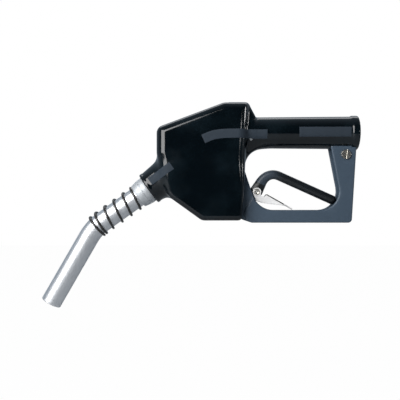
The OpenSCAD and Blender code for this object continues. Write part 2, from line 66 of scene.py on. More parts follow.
camera_data = bpy.data.cameras.new("camera")
camera_data.sensor_width = SENSOR
camera_data.lens = SENSOR * VIEW_DISTANCE / VIEW_WIDTH
camera_data.clip_start = 0.01
camera = bpy.data.objects.new("camera", camera_data)
camera.location = (VIEW_CENTRE[0], -VIEW_DISTANCE, VIEW_CENTRE[1])
camera.rotation_euler = (math.pi / 2, 0, 0)
bpy.context.scene.collection.objects.link(camera)
bpy.context.scene.camera = camera
print("lens", round(camera_data.lens, 1), "mm")

# %% [markdown]
# ## Floor and light
# The cover is a black mirror, so what it reflects makes its shape readable. A big soft box
# high on the left gives the spout its white core, one behind and above draws the top edges,
# and two small boxes on the right draw the short streaks on the body's rear corner. The
# surround is a grey room with a black cloth behind the camera, so the cover's flat side stays
# black while the metal's edges turn grey. The camera alone sees a white room and a white floor.

# %% Floor and light
FLOOR_Z = -0.235
FLOOR_GLOW = 0.985
# The surround's strength by direction: the low value towards the camera, the high one behind
CLOTH_FROM, CLOTH_TO = (-0.75, 0.40), (0.02, 0.42)
BODY_CENTRE = (-0.18, 0.0, -0.04)


def soft_box(name, place, size, power, aim=BODY_CENTRE):
    """A rectangular area light at place that faces the point aim."""
    data = bpy.data.lights.new(name, "AREA")
    data.shape = "RECTANGLE"
    data.size, data.size_y = size
    data.energy = power
    light = bpy.data.objects.new(name, data)
    light.location = place
    light.rotation_euler = (light.location - Vector(aim)).to_track_quat("Z", "Y").to_euler()
    bpy.context.scene.collection.objects.link(light)


soft_box("top_back", (-0.20, 0.55, 0.80), (1.2, 0.35), 2.5)
soft_box("key_left", (-0.82, -0.82, 0.38), (0.85, 0.95), 18)
soft_box("right_spot", (0.95, -0.22, 0.12), (0.15, 0.08), 0.9)
soft_box("right_glint", (0.55, -1.00, 0.085), (0.24, 0.03), 0.22)


def white_to_camera(tree, other, share):
    """Mixes a plain white glow over the shader other, for what the camera sees directly."""
    rays = tree.nodes.new("ShaderNodeLightPath")
    factor = tree.nodes.new("ShaderNodeMath")
    factor.operation = "MULTIPLY"
    factor.inputs[1].default_value = share
    tree.links.new(rays.outputs["Is Camera Ray"], factor.inputs[0])
    glow = tree.nodes.new("ShaderNodeBackground" if other.type == "BACKGROUND" else "ShaderNodeEmission")
    glow.inputs["Color"].default_value = (1, 1, 1, 1)
    mix = tree.nodes.new("ShaderNodeMixShader")
    tree.links.new(factor.outputs[0], mix.inputs[0])
    tree.links.new(other.outputs[0], mix.inputs[1])
    tree.links.new(glow.outputs[0], mix.inputs[2])
    return mix.outputs[0]


world = bpy.data.worlds.new("surround")
bpy.context.scene.world = world
world.use_nodes = True
surround = world.node_tree.nodes["Background"]
surround.inputs["Color"].default_value = (0.7, 0.85, 1.0, 1.0)
look = world.node_tree.nodes.new("ShaderNodeTexCoord")
split = world.node_tree.nodes.new("ShaderNodeSeparateXYZ")
cloth = world.node_tree.nodes.new("ShaderNodeMapRange")
for socket, value in zip(("From Min", "From Max", "To Min", "To Max"), CLOTH_FROM + CLOTH_TO):
    cloth.inputs[socket].default_value = value
world.node_tree.links.new(look.outputs["Generated"], split.inputs[0])
world.node_tree.links.new(split.outputs["Y"], cloth.inputs["Value"])
world.node_tree.links.new(cloth.outputs[0], surround.inputs["Strength"])
world.node_tree.links.new(white_to_camera(world.node_tree, surround, 1.0),
                          world.node_tree.nodes["World Output"].inputs[0])

bpy.ops.mesh.primitive_plane_add(size=3, location=(0, 0, FLOOR_Z))
floor = bpy.context.object
floor.name = "floor"
paper = bpy.data.materials.new("white_paper")
paper.use_nodes = True
sheet = paper.node_tree.nodes["Principled BSDF"]
sheet.inputs["Base Color"].default_value = (0.42, 0.43, 0.44, 1)
sheet.inputs["Roughness"].default_value = 0.7
paper.node_tree.links.new(white_to_camera(paper.node_tree, sheet, FLOOR_GLOW),
                          paper.node_tree.nodes["Material Output"].inputs[0])
floor.data.materials.append(paper)
bpy.context.scene.view_settings.view_transform = "Standard"
print("floor and lights ready")

# %% [markdown]
# ## Shader maths in Python
# A finish is written as arithmetic on sockets. `Num` wraps a node's output, so that
# `1 - mask * 0.5` adds the Math nodes by itself, and `Finish.make` adds every other node.

# %% Shader helpers


class Num:
    """A value that varies over a surface. Arithmetic on it adds Math nodes."""

    def __init__(self, finish, socket):
        self.finish = finish
        self.socket = socket

    def _math(self, operation, left, right):
        return self.finish.make("ShaderNodeMath", {"operation": operation}, {0: left, 1: right})

    def __add__(self, other):
        return self._math("ADD", self, other)

    def __sub__(self, other):
        return self._math("SUBTRACT", self, other)

    def __rsub__(self, other):
        return self._math("SUBTRACT", other, self)

    def __mul__(self, other):
        return self._math("MULTIPLY", self, other)

    __radd__ = __add__
    __rmul__ = __mul__


class Finish:
    """A Principled material. constants are set on the shader's own sockets."""

    def __init__(self, name, **constants):
        self.material = bpy.data.materials.new(name)
        self.material.use_nodes = True
        self.tree = self.material.node_tree
        self.shader = self.tree.nodes["Principled BSDF"]
        for key, value in constants.items():
            self.shader.inputs[key.replace("_", " ").title()].default_value = value
        self.place = Num(self, self.tree.nodes.new("ShaderNodeTexCoord").outputs["Object"])

    def make(self, kind, settings, sockets, out=0):
        """Adds a node of that kind, with its settings first and then its sockets' values or links."""
        node = self.tree.nodes.new(kind)
        for key, value in settings.items():
            setattr(node, key, value)
        for key, value in sockets.items():
            if isinstance(value, Num):
                self.tree.links.new(value.socket, node.inputs[key])
            else:
                node.inputs[key].default_value = value
        return Num(self, node.outputs[out])

    def coordinate(self, axis):
        """The point's x, y or z in metres, for axis 0, 1 or 2."""
        return self.make("ShaderNodeSeparateXYZ", {}, {0: self.place}, out=axis)

    def noise(self, scale, detail=3.0, stretch=(1, 1, 1), at=None):
        """Noise from 0 to 1, stretched along the axes."""
        where = self.make("ShaderNodeMapping", {}, {"Vector": at or self.place, "Scale": stretch})
        return self.make("ShaderNodeTexNoise", {}, {"Vector": where, "Scale": scale, "Detail": detail})

    def band(self, value, low, high):
        """0 below low, 1 above high and smooth between."""
        settings = {"interpolation_type": "SMOOTHSTEP"}
        return self.make("ShaderNodeMapRange", settings, {"Value": value, "From Min": low, "From Max": high})

    def blend(self, factor, first, second):
        """The first colour where factor is 0 and the second where it is 1."""
        names = {"Factor": factor, 6: first, 7: second}
        return self.make("ShaderNodeMix", {"data_type": "RGBA"}, names, out=2)

    def feed(self, **links):
        """Links varying values to the shader's sockets."""
        for key, value in links.items():
            self.tree.links.new(value.socket, self.shader.inputs[key.replace("_", " ").title()])
        return self

    def bump(self, height, depth, strength=1.0):
        """Small relief, depth in metres."""
        names = {"Height": height, "Distance": depth, "Strength": strength}
        return self.feed(normal=self.make("ShaderNodeBump", {}, names))


def rgb(red, green, blue):
    """A colour with full alpha."""
    return (red, green, blue, 1.0)


print("shader helpers ready")

# %% [markdown]
# ## Finishes
# Each finish names what varies over its surface: colour, roughness and fine relief. All of
# them read object coordinates, which are metres here, so a noise scale of 500 has features
# about two millimetres across.

# %% Finishes for what shows


def vinyl():
    """Glossy black dip-moulded vinyl: slow waves in the skin, faint scuffs in the gloss."""
    f = Finish("glossy_vinyl")
    scuff = f.band(f.noise(90, 6), 0.50, 0.75)
    cloud = f.band(f.noise(24, 4), 0.42, 0.68)
    f.feed(roughness=0.09 + scuff * 0.05 + cloud * 0.05)
    f.feed(base_color=f.blend(cloud, rgb(0.0012, 0.0030, 0.0045), rgb(0.0035, 0.0075, 0.0105)))
    f.bump(f.noise(38, 1.5), 0.0005, 0.35)
    return f.material


def guard_paint():
    """Slate moulded composite: a fine grain, with paler worn patches."""
    f = Finish("slate_composite")
    grain = f.noise(1600, 4)
    # On the guard this mask is only paler worn patches at random; no light is painted here.
    wear_and_painted_sheen = f.band(f.noise(45, 5), 0.5, 0.8)
    shade = f.blend(wear_and_painted_sheen * 0.6, rgb(0.048, 0.074, 0.106), rgb(0.074, 0.106, 0.144))
    f.feed(base_color=shade, roughness=0.36 + grain * 0.16)
    f.bump(grain, 0.00012, 0.5)
    return f.material


def lever_black():
    """Black coated casting, rubbed glossier in use. The top of the arch is painted slate, a painted
    sheen for the light the bend catches, down to a slanted line where the bar meets its foot; below it the
    coat is black."""
    f = Finish("lever_coating")
    x, z = f.coordinate(0), f.coordinate(2)
    grain = f.noise(1100, 4)
    rub = f.band(f.noise(60, 3), 0.45, 0.7)
    # Painted sheen: slate colour over the arch's top above a slanted line, where light falls on the bend.
    wear_and_painted_sheen = f.band(z + x * 0.464 + 0.1125, 0.0, 0.0008) * f.band(x, -0.088, -0.106)
    coat = f.blend(rub, rgb(0.005, 0.007, 0.009), rgb(0.012, 0.016, 0.020))
    f.feed(base_color=f.blend(wear_and_painted_sheen * 0.8, coat, rgb(0.044, 0.062, 0.086)))
    f.feed(roughness=0.34 + wear_and_painted_sheen * 0.08 - rub * 0.12 + grain * 0.06)
    f.bump(grain, 0.00010, 0.4)
    return f.material


def metal(name, tone, dull, bright, rough, grain, depth, stretch=(1, 1, 1), spots=0.0, metallic=1.0):
    """Bare metal: tone mottled towards dull and bright, roughness over a range, and a grain.
    A cast or etched skin scatters light, so it counts as only partly metallic."""
    f = Finish(name, metallic=metallic)
    cloud = f.noise(70, 5, stretch)
    fine = f.noise(grain, 4, stretch)
    low, high = rough
    colour = f.blend(cloud, rgb(*dull), rgb(*bright))
    if spots:
        mark = f.band(f.noise(260, 3), 0.62, 0.72)
        colour = f.blend(mark * spots, colour, rgb(*tone))
    f.feed(base_color=colour, roughness=low + fine * (high - low))
    f.bump(fine, depth, 0.5)
    return f.material


def clip_steel():
    """Pressed stainless sheet, bright and a little milky, with a painted shade: a dark line along the
    blade's upper edge where the fold stands in shadow. The line is where a point's distance below the
    straight edge, its x and z weighted by the edge's normal, is under about a millimetre."""
    f = Finish("pressed_stainless", metallic=0.15)
    x, z = f.coordinate(0), f.coordinate(2)
    above = x * 0.4957 + z * 0.8686 + 0.11465
    # Painted shade: a dark line along the blade's top edge, where the fold stands in shadow.
    painted_shade_line = f.band(above, -0.0016, -0.0011) * f.band(x, -0.1092, -0.1082)
    painted_shade_line = painted_shade_line * (1 - f.band(x, -0.0868, -0.0858))
    cloud = f.noise(70, 5, (1, 1, 5))
    bright = f.blend(cloud, rgb(0.90, 0.89, 0.88), rgb(1.00, 0.99, 0.98))
    f.feed(base_color=f.blend(painted_shade_line, bright, rgb(0.02, 0.02, 0.02)))
    f.feed(roughness=0.30 + cloud * 0.14 + painted_shade_line * 0.2)
    f.bump(f.noise(700, 4), 0.00003, 0.5)
    return f.material


def along_uv(name, dull, bright, rough, stretch, depth):
    """Drawn metal: streaks follow the piece's own UV map, finer across it by the stretch."""
    f = Finish(name, metallic=1.0)
    uv = Num(f, f.tree.nodes.new("ShaderNodeUVMap").outputs[0])
    streaks = f.noise(9, 4, (stretch, 0.6, 1), at=uv)
    scratch = f.band(f.noise(30, 2, (3, 2, 1), at=uv), 0.60, 0.68)
    cloud = f.noise(45, 4)
    low, high = rough
    f.feed(base_color=f.blend(cloud * 0.6 + streaks * 0.4, rgb(*dull), rgb(*bright)))
    f.feed(roughness=low + streaks * (high - low) + scratch * 0.08)
    f.bump(streaks + scratch * 0.4, depth, 0.5)
    return f.material


def plain(name, dark, light, rough, grain, depth):
    """Rubber, packing or a matt strip: two close tones and a fine grain."""
    f = Finish(name)
    fine = f.noise(grain, 4)
    low, high = rough
    f.feed(base_color=f.blend(f.noise(80, 4), rgb(*dark), rgb(*light)))
    f.feed(roughness=low + fine * (high - low))
    f.bump(fine, depth, 0.5)
    return f.material


STEEL = (0.35, 0.33, 0.30)
FINISH = {
    "vinyl_cover": vinyl(),
    "guard_paint": guard_paint(),
    "lever_finish": lever_black(),
    "label_strip": plain("matt_strip", (0.010, 0.019, 0.030), (0.018, 0.030, 0.045),
                         (0.70, 0.85), 900, 0.00006),
    "spout_metal": along_uv("polished_spout", (0.60, 0.61, 0.63), (0.80, 0.81, 0.83),
                            (0.36, 0.50), 5, 0.000004),
    "nut_metal": metal("cast_nut", STEEL, (0.40, 0.42, 0.44), (0.58, 0.60, 0.62),
                       (0.46, 0.60), 900, 0.00008, metallic=0.55),
    "anchor_wire": metal("oiled_spring_wire", STEEL, (0.045, 0.042, 0.040),
                         (0.13, 0.125, 0.12), (0.26, 0.45), 900, 0.00008),
    "bright_stainless": clip_steel(),
    "plated_steel": metal("nickel_plate", STEEL, (0.60, 0.57, 0.50), (0.82, 0.79, 0.73),
                          (0.20, 0.36), 800, 0.00004, spots=0.4),
    "die_cast": metal("die_casting", STEEL, (0.42, 0.43, 0.44), (0.60, 0.61, 0.62),
                      (0.40, 0.62), 700, 0.00025),
    "brass": metal("turned_brass", (0.30, 0.20, 0.08), (0.55, 0.38, 0.16),
                   (0.80, 0.60, 0.28), (0.20, 0.38), 900, 0.00004, spots=0.3),
    "stainless": metal("ground_steel", STEEL, (0.50, 0.50, 0.50), (0.68, 0.68, 0.68),
                       (0.18, 0.34), 1200, 0.00003, (1, 1, 8)),
    "spring_wire": metal("drawn_wire", STEEL, (0.38, 0.38, 0.38), (0.60, 0.60, 0.60),
                         (0.24, 0.40), 900, 0.00004),
    "seal_rubber": plain("seal_rubber", (0.012, 0.012, 0.012), (0.028, 0.028, 0.028),
                         (0.55, 0.75), 900, 0.00008),
    "vent_metal": metal("vent_tubing", STEEL, (0.50, 0.50, 0.51), (0.68, 0.68, 0.69),
                        (0.26, 0.42), 800, 0.00004),
}
node_slot = {part["node"]: part["material_slot"] for part in frame["record"]["subparts"]}
node_body = {
    node: body for body, nodes in frame["record"]["behaviour"]["bodies"].items() for node in nodes
}
for name, cad_object in frame["nodes"].items():
    cad_object.data.materials.clear()
    cad_object.data.materials.append(FINISH[node_slot[name]])
print(len(FINISH), "finishes on", len(frame["nodes"]), "parts")

# %% [markdown]
# ## Making a piece
# Every new piece goes through `place`: it writes the arrays into a mesh, turns the faces
# outwards, smooths them between sharp edges, and tells the frame which part the piece stands
# for and which body it rides on.

# %% Mesh helpers


def outward(points, faces):
    """Turns all faces over if the mesh's signed volume is negative.
    The volume is a sixth of the sum over triangles of a . (b x c)."""
    a, b, c = (points[faces[:, i]] for i in (0, 1, 2))
    volume = np.einsum("ij,ij->i", a, np.cross(b, c)).sum()
    if faces.shape[1] == 4:
        d = points[faces[:, 3]]
        volume += np.einsum("ij,ij->i", a, np.cross(c, d)).sum()
    return faces if volume > 0 else faces[:, ::-1]


def place(name, parts, node, uv=None, sharp=35, stands_for=True, caps=()):
    """A mesh object from a list of (points in mm, faces). uv is one array per part, per point.
    caps are more faces on the same points, which close a tube's ends."""
    points = np.concatenate([p for p, _ in parts])
    starts = np.cumsum([0] + [len(p) for p, _ in parts])
    faces = [face for (p, f), at in zip(parts, starts) for face in (outward(p, f) + at).tolist()]
    faces += [face for cap in caps for face in cap.tolist()]
    mesh = bpy.data.meshes.new(name)
    mesh.from_pydata((points * MM).tolist(), [], faces)
    if caps:
        whole = bmesh.new()
        whole.from_mesh(mesh)
        bmesh.ops.recalc_face_normals(whole, faces=whole.faces)
        whole.to_mesh(mesh)
        whole.free()
    if uv is not None:
        layer = mesh.uv_layers.new(name="UVMap")
        corners = np.empty(len(mesh.loops), dtype=np.int32)
        mesh.loops.foreach_get("vertex_index", corners)
        layer.data.foreach_set("uv", np.concatenate(uv)[corners].ravel())
    mesh.shade_smooth()
    mesh.set_sharp_from_angle(angle=math.radians(sharp))
    piece = bpy.data.objects.new(name, mesh)
    bpy.context.scene.collection.objects.link(piece)
    return claim(piece, node, stands_for)


def claim(piece, node, stands_for=True):
    """Gives a piece its part's finish, body and slot."""
    piece.data.materials.clear()
    piece.data.materials.append(FINISH[node_slot[node]])
    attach(piece, node_body[node])
    if stands_for:
        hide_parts(node)
    print(piece.name, len(piece.data.polygons), "faces, rides on", node_body[node])
    return piece


def tiles(rows, columns, closed_rows=False, closed_columns=False):
    """Quads of a grid of rows x columns points, joined end to end where closed."""
    i = np.arange(rows if closed_rows else rows - 1)
    j = np.arange(columns if closed_columns else columns - 1)
    i, j = np.meshgrid(i, j, indexing="ij")
    k, m = (i + 1) % rows, (j + 1) % columns
    corners = [i * columns + j, i * columns + m, k * columns + m, k * columns + j]
    return np.stack(corners, axis=-1).reshape(-1, 4)


def unit(vectors):
    """Each vector divided by its length."""
    return vectors / np.linalg.norm(vectors, axis=-1, keepdims=True)


def softened(name, node, width, segments=2, angle=32):
    """A copy of a part with its edges rounded to width mm, as a turned or pressed part has."""
    mesh = frame["nodes"][node].data.copy()
    work = bmesh.new()
    work.from_mesh(mesh)
    bmesh.ops.remove_doubles(work, verts=work.verts, dist=2e-6)
    bmesh.ops.dissolve_limit(work, angle_limit=math.radians(0.6), verts=work.verts, edges=work.edges)
    work.to_mesh(mesh)
    work.free()
    mesh.name = name
    mesh.shade_smooth()
    mesh.set_sharp_from_angle(angle=math.radians(angle))
    piece = bpy.data.objects.new(name, mesh)
    bpy.context.scene.collection.objects.link(piece)
    bevel = piece.modifiers.new("rounded_edges", "BEVEL")
    bevel.width = width * MM
    bevel.segments = segments
    bevel.limit_method = "ANGLE"
    bevel.angle_limit = math.radians(angle)
    bevel.harden_normals = True
    return claim(piece, node)


# %% [markdown]
# ## Moulded forms
# The cover, the guard and the lever are moulded: their faces run into each other through
# soft curves. Such a form is easiest to say as a field, the signed distance to its surface:
# a union is a minimum, and a minimum that is rounded off near equality leaves a fillet. The
# field is worked out on a grid, the volume library draws quads through its zero, and each
# point is then moved along the field's slope until it lies on the surface.

# %% Fields


def arc_corners(corners, steps=7):
    """A closed outline from [x, z, radius] corners: each corner becomes an arc tangent to its
    two edges, centred on the bisector at radius / sin(half angle) from the corner."""
    places = np.array([c[:2] for c in corners], dtype=float)
    outline = []
    for back, here, ahead, corner in zip(np.roll(places, 1, 0), places, np.roll(places, -1, 0), corners):
        radius = corner[2]
        u, v = unit(back - here), unit(ahead - here)
        half = math.acos(np.clip(u @ v, -1, 1)) / 2
        centre = here + unit(u + v) * radius / math.sin(half)
        first = here + u * radius / math.tan(half) - centre
        last = here + v * radius / math.tan(half) - centre
        turn = math.atan2(first[0] * last[1] - first[1] * last[0], first @ last)
        angles = math.atan2(first[1], first[0]) + np.linspace(0, turn, steps)
        outline.append(centre + radius * np.stack([np.cos(angles), np.sin(angles)], -1))
    return np.concatenate(outline)


def outline_distance(x, z, outline):
    """Signed distance to a closed outline: the nearest edge's distance, negative inside.
    A point is inside when a ray from it crosses the outline an odd number of times."""
    nearest = np.full(np.broadcast(x, z).shape, 1e9)
    sign = np.ones_like(nearest)
    for (ax, az), (bx, bz) in zip(outline, np.roll(outline, -1, 0)):
        ex, ez, wx, wz = bx - ax, bz - az, x - ax, z - az
        t = np.clip((wx * ex + wz * ez) / (ex * ex + ez * ez + 1e-12), 0, 1)
        nearest = np.minimum(nearest, (wx - ex * t) ** 2 + (wz - ez * t) ** 2)
        above, below, left = z >= az, z < bz, ex * wz > ez * wx
        crossed = (above & below & left) | ~(above | below | left)
        sign = np.where(crossed, -sign, sign)
    return sign * np.sqrt(nearest)


def slab(flat, across, half, edge):
    """A flat field given thickness: half its width each side, with edges rounded to edge."""
    a, b = flat + edge, np.abs(across) - half + edge
    return np.hypot(np.maximum(a, 0), np.maximum(b, 0)) + np.minimum(np.maximum(a, b), 0) - edge


def join(a, b, blend):
    """Smooth minimum: the two surfaces run together over a width of about blend."""
    h = np.clip(0.5 + 0.5 * (b - a) / blend, 0, 1)
    return b * (1 - h) + a * h - blend * h * (1 - h)


def cut(a, b, blend=0.6):
    """a with b taken away, the new edge softened over blend."""
    return -join(-a, b, blend)


def rod(along, radius_from_axis, start, end, radius, edge):
    """A cylinder from start to end whose rims are rounded to edge."""
    middle, half = (start + end) / 2, (end - start) / 2
    return slab(radius_from_axis - radius, along - middle, half, edge)


def smooth_step(value, low, high):
    """0 below low, 1 above high, 3t^2 - 2t^3 between."""
    t = np.clip((value - low) / (high - low), 0, 1)
    return t * t * (3 - 2 * t)


def slope(field, points, reach=0.05):
    """The field's gradient at points, from central differences."""
    shifts = np.eye(3) * reach
    sides = [field(*(points + s).T) - field(*(points - s).T) for s in shifts]
    return np.stack(sides, -1) / (2 * reach)


def settle(field, points, rounds=3):
    """Moves points onto the surface by Newton steps along the gradient."""
    for _ in range(rounds):
        g = slope(field, points)
        step = field(*points.T)[:, None] * g / np.maximum((g * g).sum(-1, keepdims=True), 0.2)
        points = points - np.clip(step, -1, 1)
    return points


def skin(field, low, high, step):
    """Points and quads of the surface where the field is zero, in a box from low to high."""
    axes = [np.arange(a, b + step, step) for a, b in zip(low, high)]
    values = np.ascontiguousarray(field(*np.ix_(*axes)), dtype=np.float32)
    grid = openvdb.FloatGrid(float(values.max()))
    grid.copyFromArray(values)
    points, quads = grid.convertToQuads(isovalue=0.0)
    points = np.asarray(low) + points.astype(float) * step
    return settle(field, points), quads.astype(np.int64)


print("field helpers ready")

# %% [markdown]
# ## The cover
# The real cover is one thick vinyl moulding stretched over the casting. Here it is a field:
# a rounded block, the bump over the valve cap, the round grip, the collar at the hose end and
# the spout socket. They run together with a wide curve under the grip and a tight one above
# it. The hollow inside is the same field drawn in.

# %% The cover's field
HALF_WIDTH = 27.0
TOP_EDGE, BOTTOM_EDGE = 11.0, 5.0
GRIP_FRONT, GRIP_BACK, COLLAR_R = 17.9, 19.0, 20.0
COVER_T = 1.8
PIVOT = np.array([-166.0, -83.0])
SOCKET = np.array([-243.7, -65.5])
DIP = math.radians(35.5)
SPOUT_OUT = np.array([-math.cos(DIP), -math.sin(DIP)])
SPOUT_UP = np.array([-math.sin(DIP), math.cos(DIP)])

BLOCK = arc_corners([
    [-233.4, 4.6, 9], [-156.5, 33.3, 14], [-127.5, 33.3, 5], [-135.9, -101.8, 5],
    [-181.5, -101.8, 10], [-219.5, -74.5, 14], [-233.4, -26, 16]])
BUMP = arc_corners([
    [-150, 33.3, 0.1], [-128.2, 33.3, 4.5], [-119.2, 16.5, 3], [-119, -4, 3], [-150, -4, 0.1]])


def spout_frame(x, z):
    """Distance along the spout's axis from the socket's mouth, and above the axis."""
    dx, dz = x - SOCKET[0], z - SOCKET[1]
    return dx * SPOUT_OUT[0] + dz * SPOUT_OUT[1], dx * SPOUT_UP[0] + dz * SPOUT_UP[1]


def cover_form(x, y, z):
    """The cover's outer surface, closed at both ends. The block's edges are rounded widely at
    the top and tightly at the bottom."""
    edge = TOP_EDGE - (TOP_EDGE - BOTTOM_EDGE) * smooth_step(-z, 25, 70)
    block = slab(outline_distance(x, z, BLOCK), y, HALF_WIDTH, edge)
    bump = slab(outline_distance(x, z, BUMP), y, 18, 5)
    from_axis = np.hypot(y, z)
    grip_r = GRIP_FRONT + (GRIP_BACK - GRIP_FRONT) * np.clip((x + 140) / 132, -0.1, 1.1)
    grip = np.maximum(from_axis - grip_r, np.maximum(-150 - x, x + 1.2))
    collar = rod(x, from_axis, -8.4, 0, COLLAR_R, 1.6)
    along, above = spout_frame(x, z)
    from_spout = np.hypot(above, y)
    socket_r = 18.65 + np.clip(-along, 0, 60) * 0.10
    socket = np.maximum(from_spout - socket_r, np.maximum(along + 0.6, -50 - along))
    rim = rod(along, from_spout, -3.6, 0, 19.3, 1.5)
    under = smooth_step(-z, 0, 12)
    reach = 3.5 + under * (5.5 + 17.0 * (1 - smooth_step(np.abs(y), 6, 16)))
    form = join(join(block, bump, 3.0), grip, reach)
    form = join(form, collar, 1.2)
    return join(join(form, socket, 9), rim, 1.6)


def cover_field(x, y, z):
    """The cover as a shell, open at the hose end, the socket and where the guard goes in."""
    form = cover_form(x, y, z)
    shell = cut(form, form + COVER_T, 0.3)
    along, above = spout_frame(x, z)
    shell = cut(shell, rod(x, np.hypot(y, z), -4, 4, COLLAR_R - 2.2, 0.3))
    shell = cut(shell, rod(along, np.hypot(above, y), -4, 4, 16.9, 0.3))
    rear_slot = np.maximum(np.abs(x + 136) - 6, np.abs(z + 68.75) - 31.2)
    rear_slot = np.maximum(rear_slot, np.abs(y) - 11.3)
    lug_slot = np.maximum(np.maximum(np.abs(x + 15.5) - 8.5, z + 12), np.abs(y) - 8)
    return cut(cut(shell, rear_slot), lug_slot)


cover_points, cover_quads = skin(cover_field, (-263, -29.5, -104.5), (3, 29.5, 36.5), 1.25)
cover = place("moulded_cover", [(cover_points, cover_quads)], "body_cover", sharp=60)

# %% [markdown]
# ## Blank label strips
# Where the real cover carries printed strips, this one has blank raised ones. Each is a grid
# of points in the side view, dropped onto the cover's field along Y and lifted a little, so
# that it hugs the body's curve all the way on to the grip.

# %% Label strips


def ribbon(path, half_width, count, across=9):
    """Grid of side-view points: a smooth path resampled evenly, spread to both sides."""
    path = np.asarray(path, dtype=float)
    reach = np.concatenate([[0], np.cumsum(np.linalg.norm(np.diff(path, axis=0), axis=1))])
    at = np.linspace(0, reach[-1], count)
    line = np.stack([np.interp(at, reach, path[:, 0]), np.interp(at, reach, path[:, 1])], -1)
    for _ in range(12):
        line[1:-1] = (line[:-2] + 2 * line[1:-1] + line[2:]) / 4
    ahead = unit(np.gradient(line, axis=0))
    side = np.stack([-ahead[:, 1], ahead[:, 0]], -1)
    offsets = np.linspace(-half_width, half_width, across)
    return line[:, None, :] + side[:, None, :] * offsets[None, :, None]


def drop(field, flat, side, start=30.0):
    """Points on the surface under each side-view point, walking in from y = side * start."""
    x, z = flat[..., 0].ravel(), flat[..., 1].ravel()
    y = np.full_like(x, side * start)
    for _ in range(40):
        y = y - side * field(x, y, z)
    return np.stack([x, y, z], -1)


def strip(flat, side, lift=0.35):
    """A closed thin plate: the grid lifted off the cover, and the same grid sunk under it."""
    rows, columns = flat.shape[:2]
    base = drop(cover_form, flat, side)
    out = unit(slope(cover_form, base))
    top = (base + out * lift).reshape(rows, columns, 3)
    bottom = (base - out * 0.3).reshape(rows, columns, 3)
    edge_drop = np.zeros((rows, columns, 1))
    edge_drop[[0, -1], :, 0] = edge_drop[:, [0, -1], 0] = 1
    top = top - out.reshape(rows, columns, 3) * edge_drop * lift * 0.6
    points = np.concatenate([top.reshape(-1, 3), bottom.reshape(-1, 3)])
    size = rows * columns
    face = tiles(rows, columns)
    loop = np.concatenate([np.arange(columns), np.arange(2, rows) * columns - 1,
                           size - 1 - np.arange(columns), np.arange(rows - 2, 0, -1) * columns])
    after = np.roll(loop, -1)
    wall = np.stack([after, loop, loop + size, after + size], -1)
    return points, np.concatenate([face, face[:, ::-1] + size, wall])


BODY_STRIP = [(-180, -9.5), (-173, -6.3), (-166, -4.2), (-158, -3.2), (-148, -2.9), (-106.5, -2.9)]
GRIP_STRIP = [(-70, -0.3), (-10.5, -0.3)]
middle = SOCKET - SPOUT_OUT * 22.5 + SPOUT_UP * 5.1
SOCKET_STRIP = [tuple(middle - SPOUT_OUT * 15.5), tuple(middle + SPOUT_OUT * 15.5)]
for name, path, half, node in (("body_strip", BODY_STRIP, 5.2, "body_labels"),
                               ("grip_strip", GRIP_STRIP, 5.6, "grip_labels"),
                               ("socket_strip", SOCKET_STRIP, 4.7, "socket_labels")):
    flat = ribbon(path, half, 60)
    place(name, [strip(flat, side) for side in (-1, 1)], node, sharp=50)

# %% [markdown]
# ## The lever guard
# The guard is a moulded channel that hangs under the grip: two cheeks and a web along its
# outer edge, so that the lever's tail and the clip can drop between the cheeks. The channel
# is open beside the body as well, which leaves the lever's arch room at full pull. A field
# again, because every edge of the real one is rounded.

# %% Guard
GUARD_W, CHANNEL_W = 11.0, 8.0
GUARD = arc_corners([
    [-2.4, -8, 0.1], [-8.4, -104.7, 4.5], [-124, -104.7, 6], [-134.5, -101.2, 4],
    [-137.9, -99, 0.1], [-137.9, -38.6, 0.1], [-133.9, -38.6, 1.5], [-117, -90.1, 26],
    [-18.4, -90.1, 22], [-34.3, -8, 0.1]], 9)
CHANNEL = arc_corners([
    [-6.6, -8, 0.1], [-12, -103, 3], [-142, -103, 0.1], [-142, -46, 0.1],
    [-134.4, -46, 0.1], [-134.4, -36, 0.1], [-110, -36, 0.1], [-60, -60, 0.1], [-38, -8, 0.1]])
RECESS = arc_corners([
    [-160, -30, 0.1], [-125.5, -30, 0.1], [-121, -70, 3], [-123, -76, 3], [-131, -88, 3],
    [-133, -95, 2], [-130, -102, 2], [-130, -110, 0.1], [-160, -110, 0.1]])
LUG = arc_corners([[-152, -88.5, 3], [-137, -88.5, 0.1], [-137, -98.8, 0.1], [-152, -98.8, 3]])
SCREW = (-15.2, -25.7)


def guard_field(x, y, z):
    """The guard's outline given width, hollowed by the channel and cut to fit the grip."""
    flat = outline_distance(x, z, GUARD)
    guard = slab(flat, y, GUARD_W, 1.5)
    recess = outline_distance(x, z, RECESS)
    guard = cut(guard, np.maximum(recess, GUARD_W - 0.9 - np.abs(y)), 0.5)
    guard = cut(guard, slab(outline_distance(x, z, CHANNEL), y, CHANNEL_W, 0.3), 0.8)
    lug = slab(outline_distance(x, z, LUG), np.abs(y) - 9, 1, 0.3)
    guard = np.minimum(guard, lug)
    from_axis = np.hypot(y, z)
    guard = cut(guard, np.maximum(from_axis - GRIP_BACK - 0.25, x - 2), 0.5)
    collar = np.maximum(from_axis - COLLAR_R - 0.25, np.maximum(-8.6 - x, x - 2))
    boss = np.hypot(x - SCREW[0], z - SCREW[1])
    seat = np.maximum(boss - 6.3, GUARD_W - 0.5 - np.abs(y))
    return cut(cut(guard, collar, 0.4), seat, 0.4)


guard_points, guard_quads = skin(guard_field, (-155, -12, -106), (-1, 12, -10), 0.85)
place("moulded_guard", [(guard_points, guard_quads)], "lever_guard", sharp=60)

# %% [markdown]
# ## The lever
# A round bar that rises in a tight arch and runs back at a slant, grown out of a flat arm
# that reaches forward to the pivot inside the body. The bar is the distance to a bent line,
# less its radius, and the arm is an outline given width, forked round the plunger.

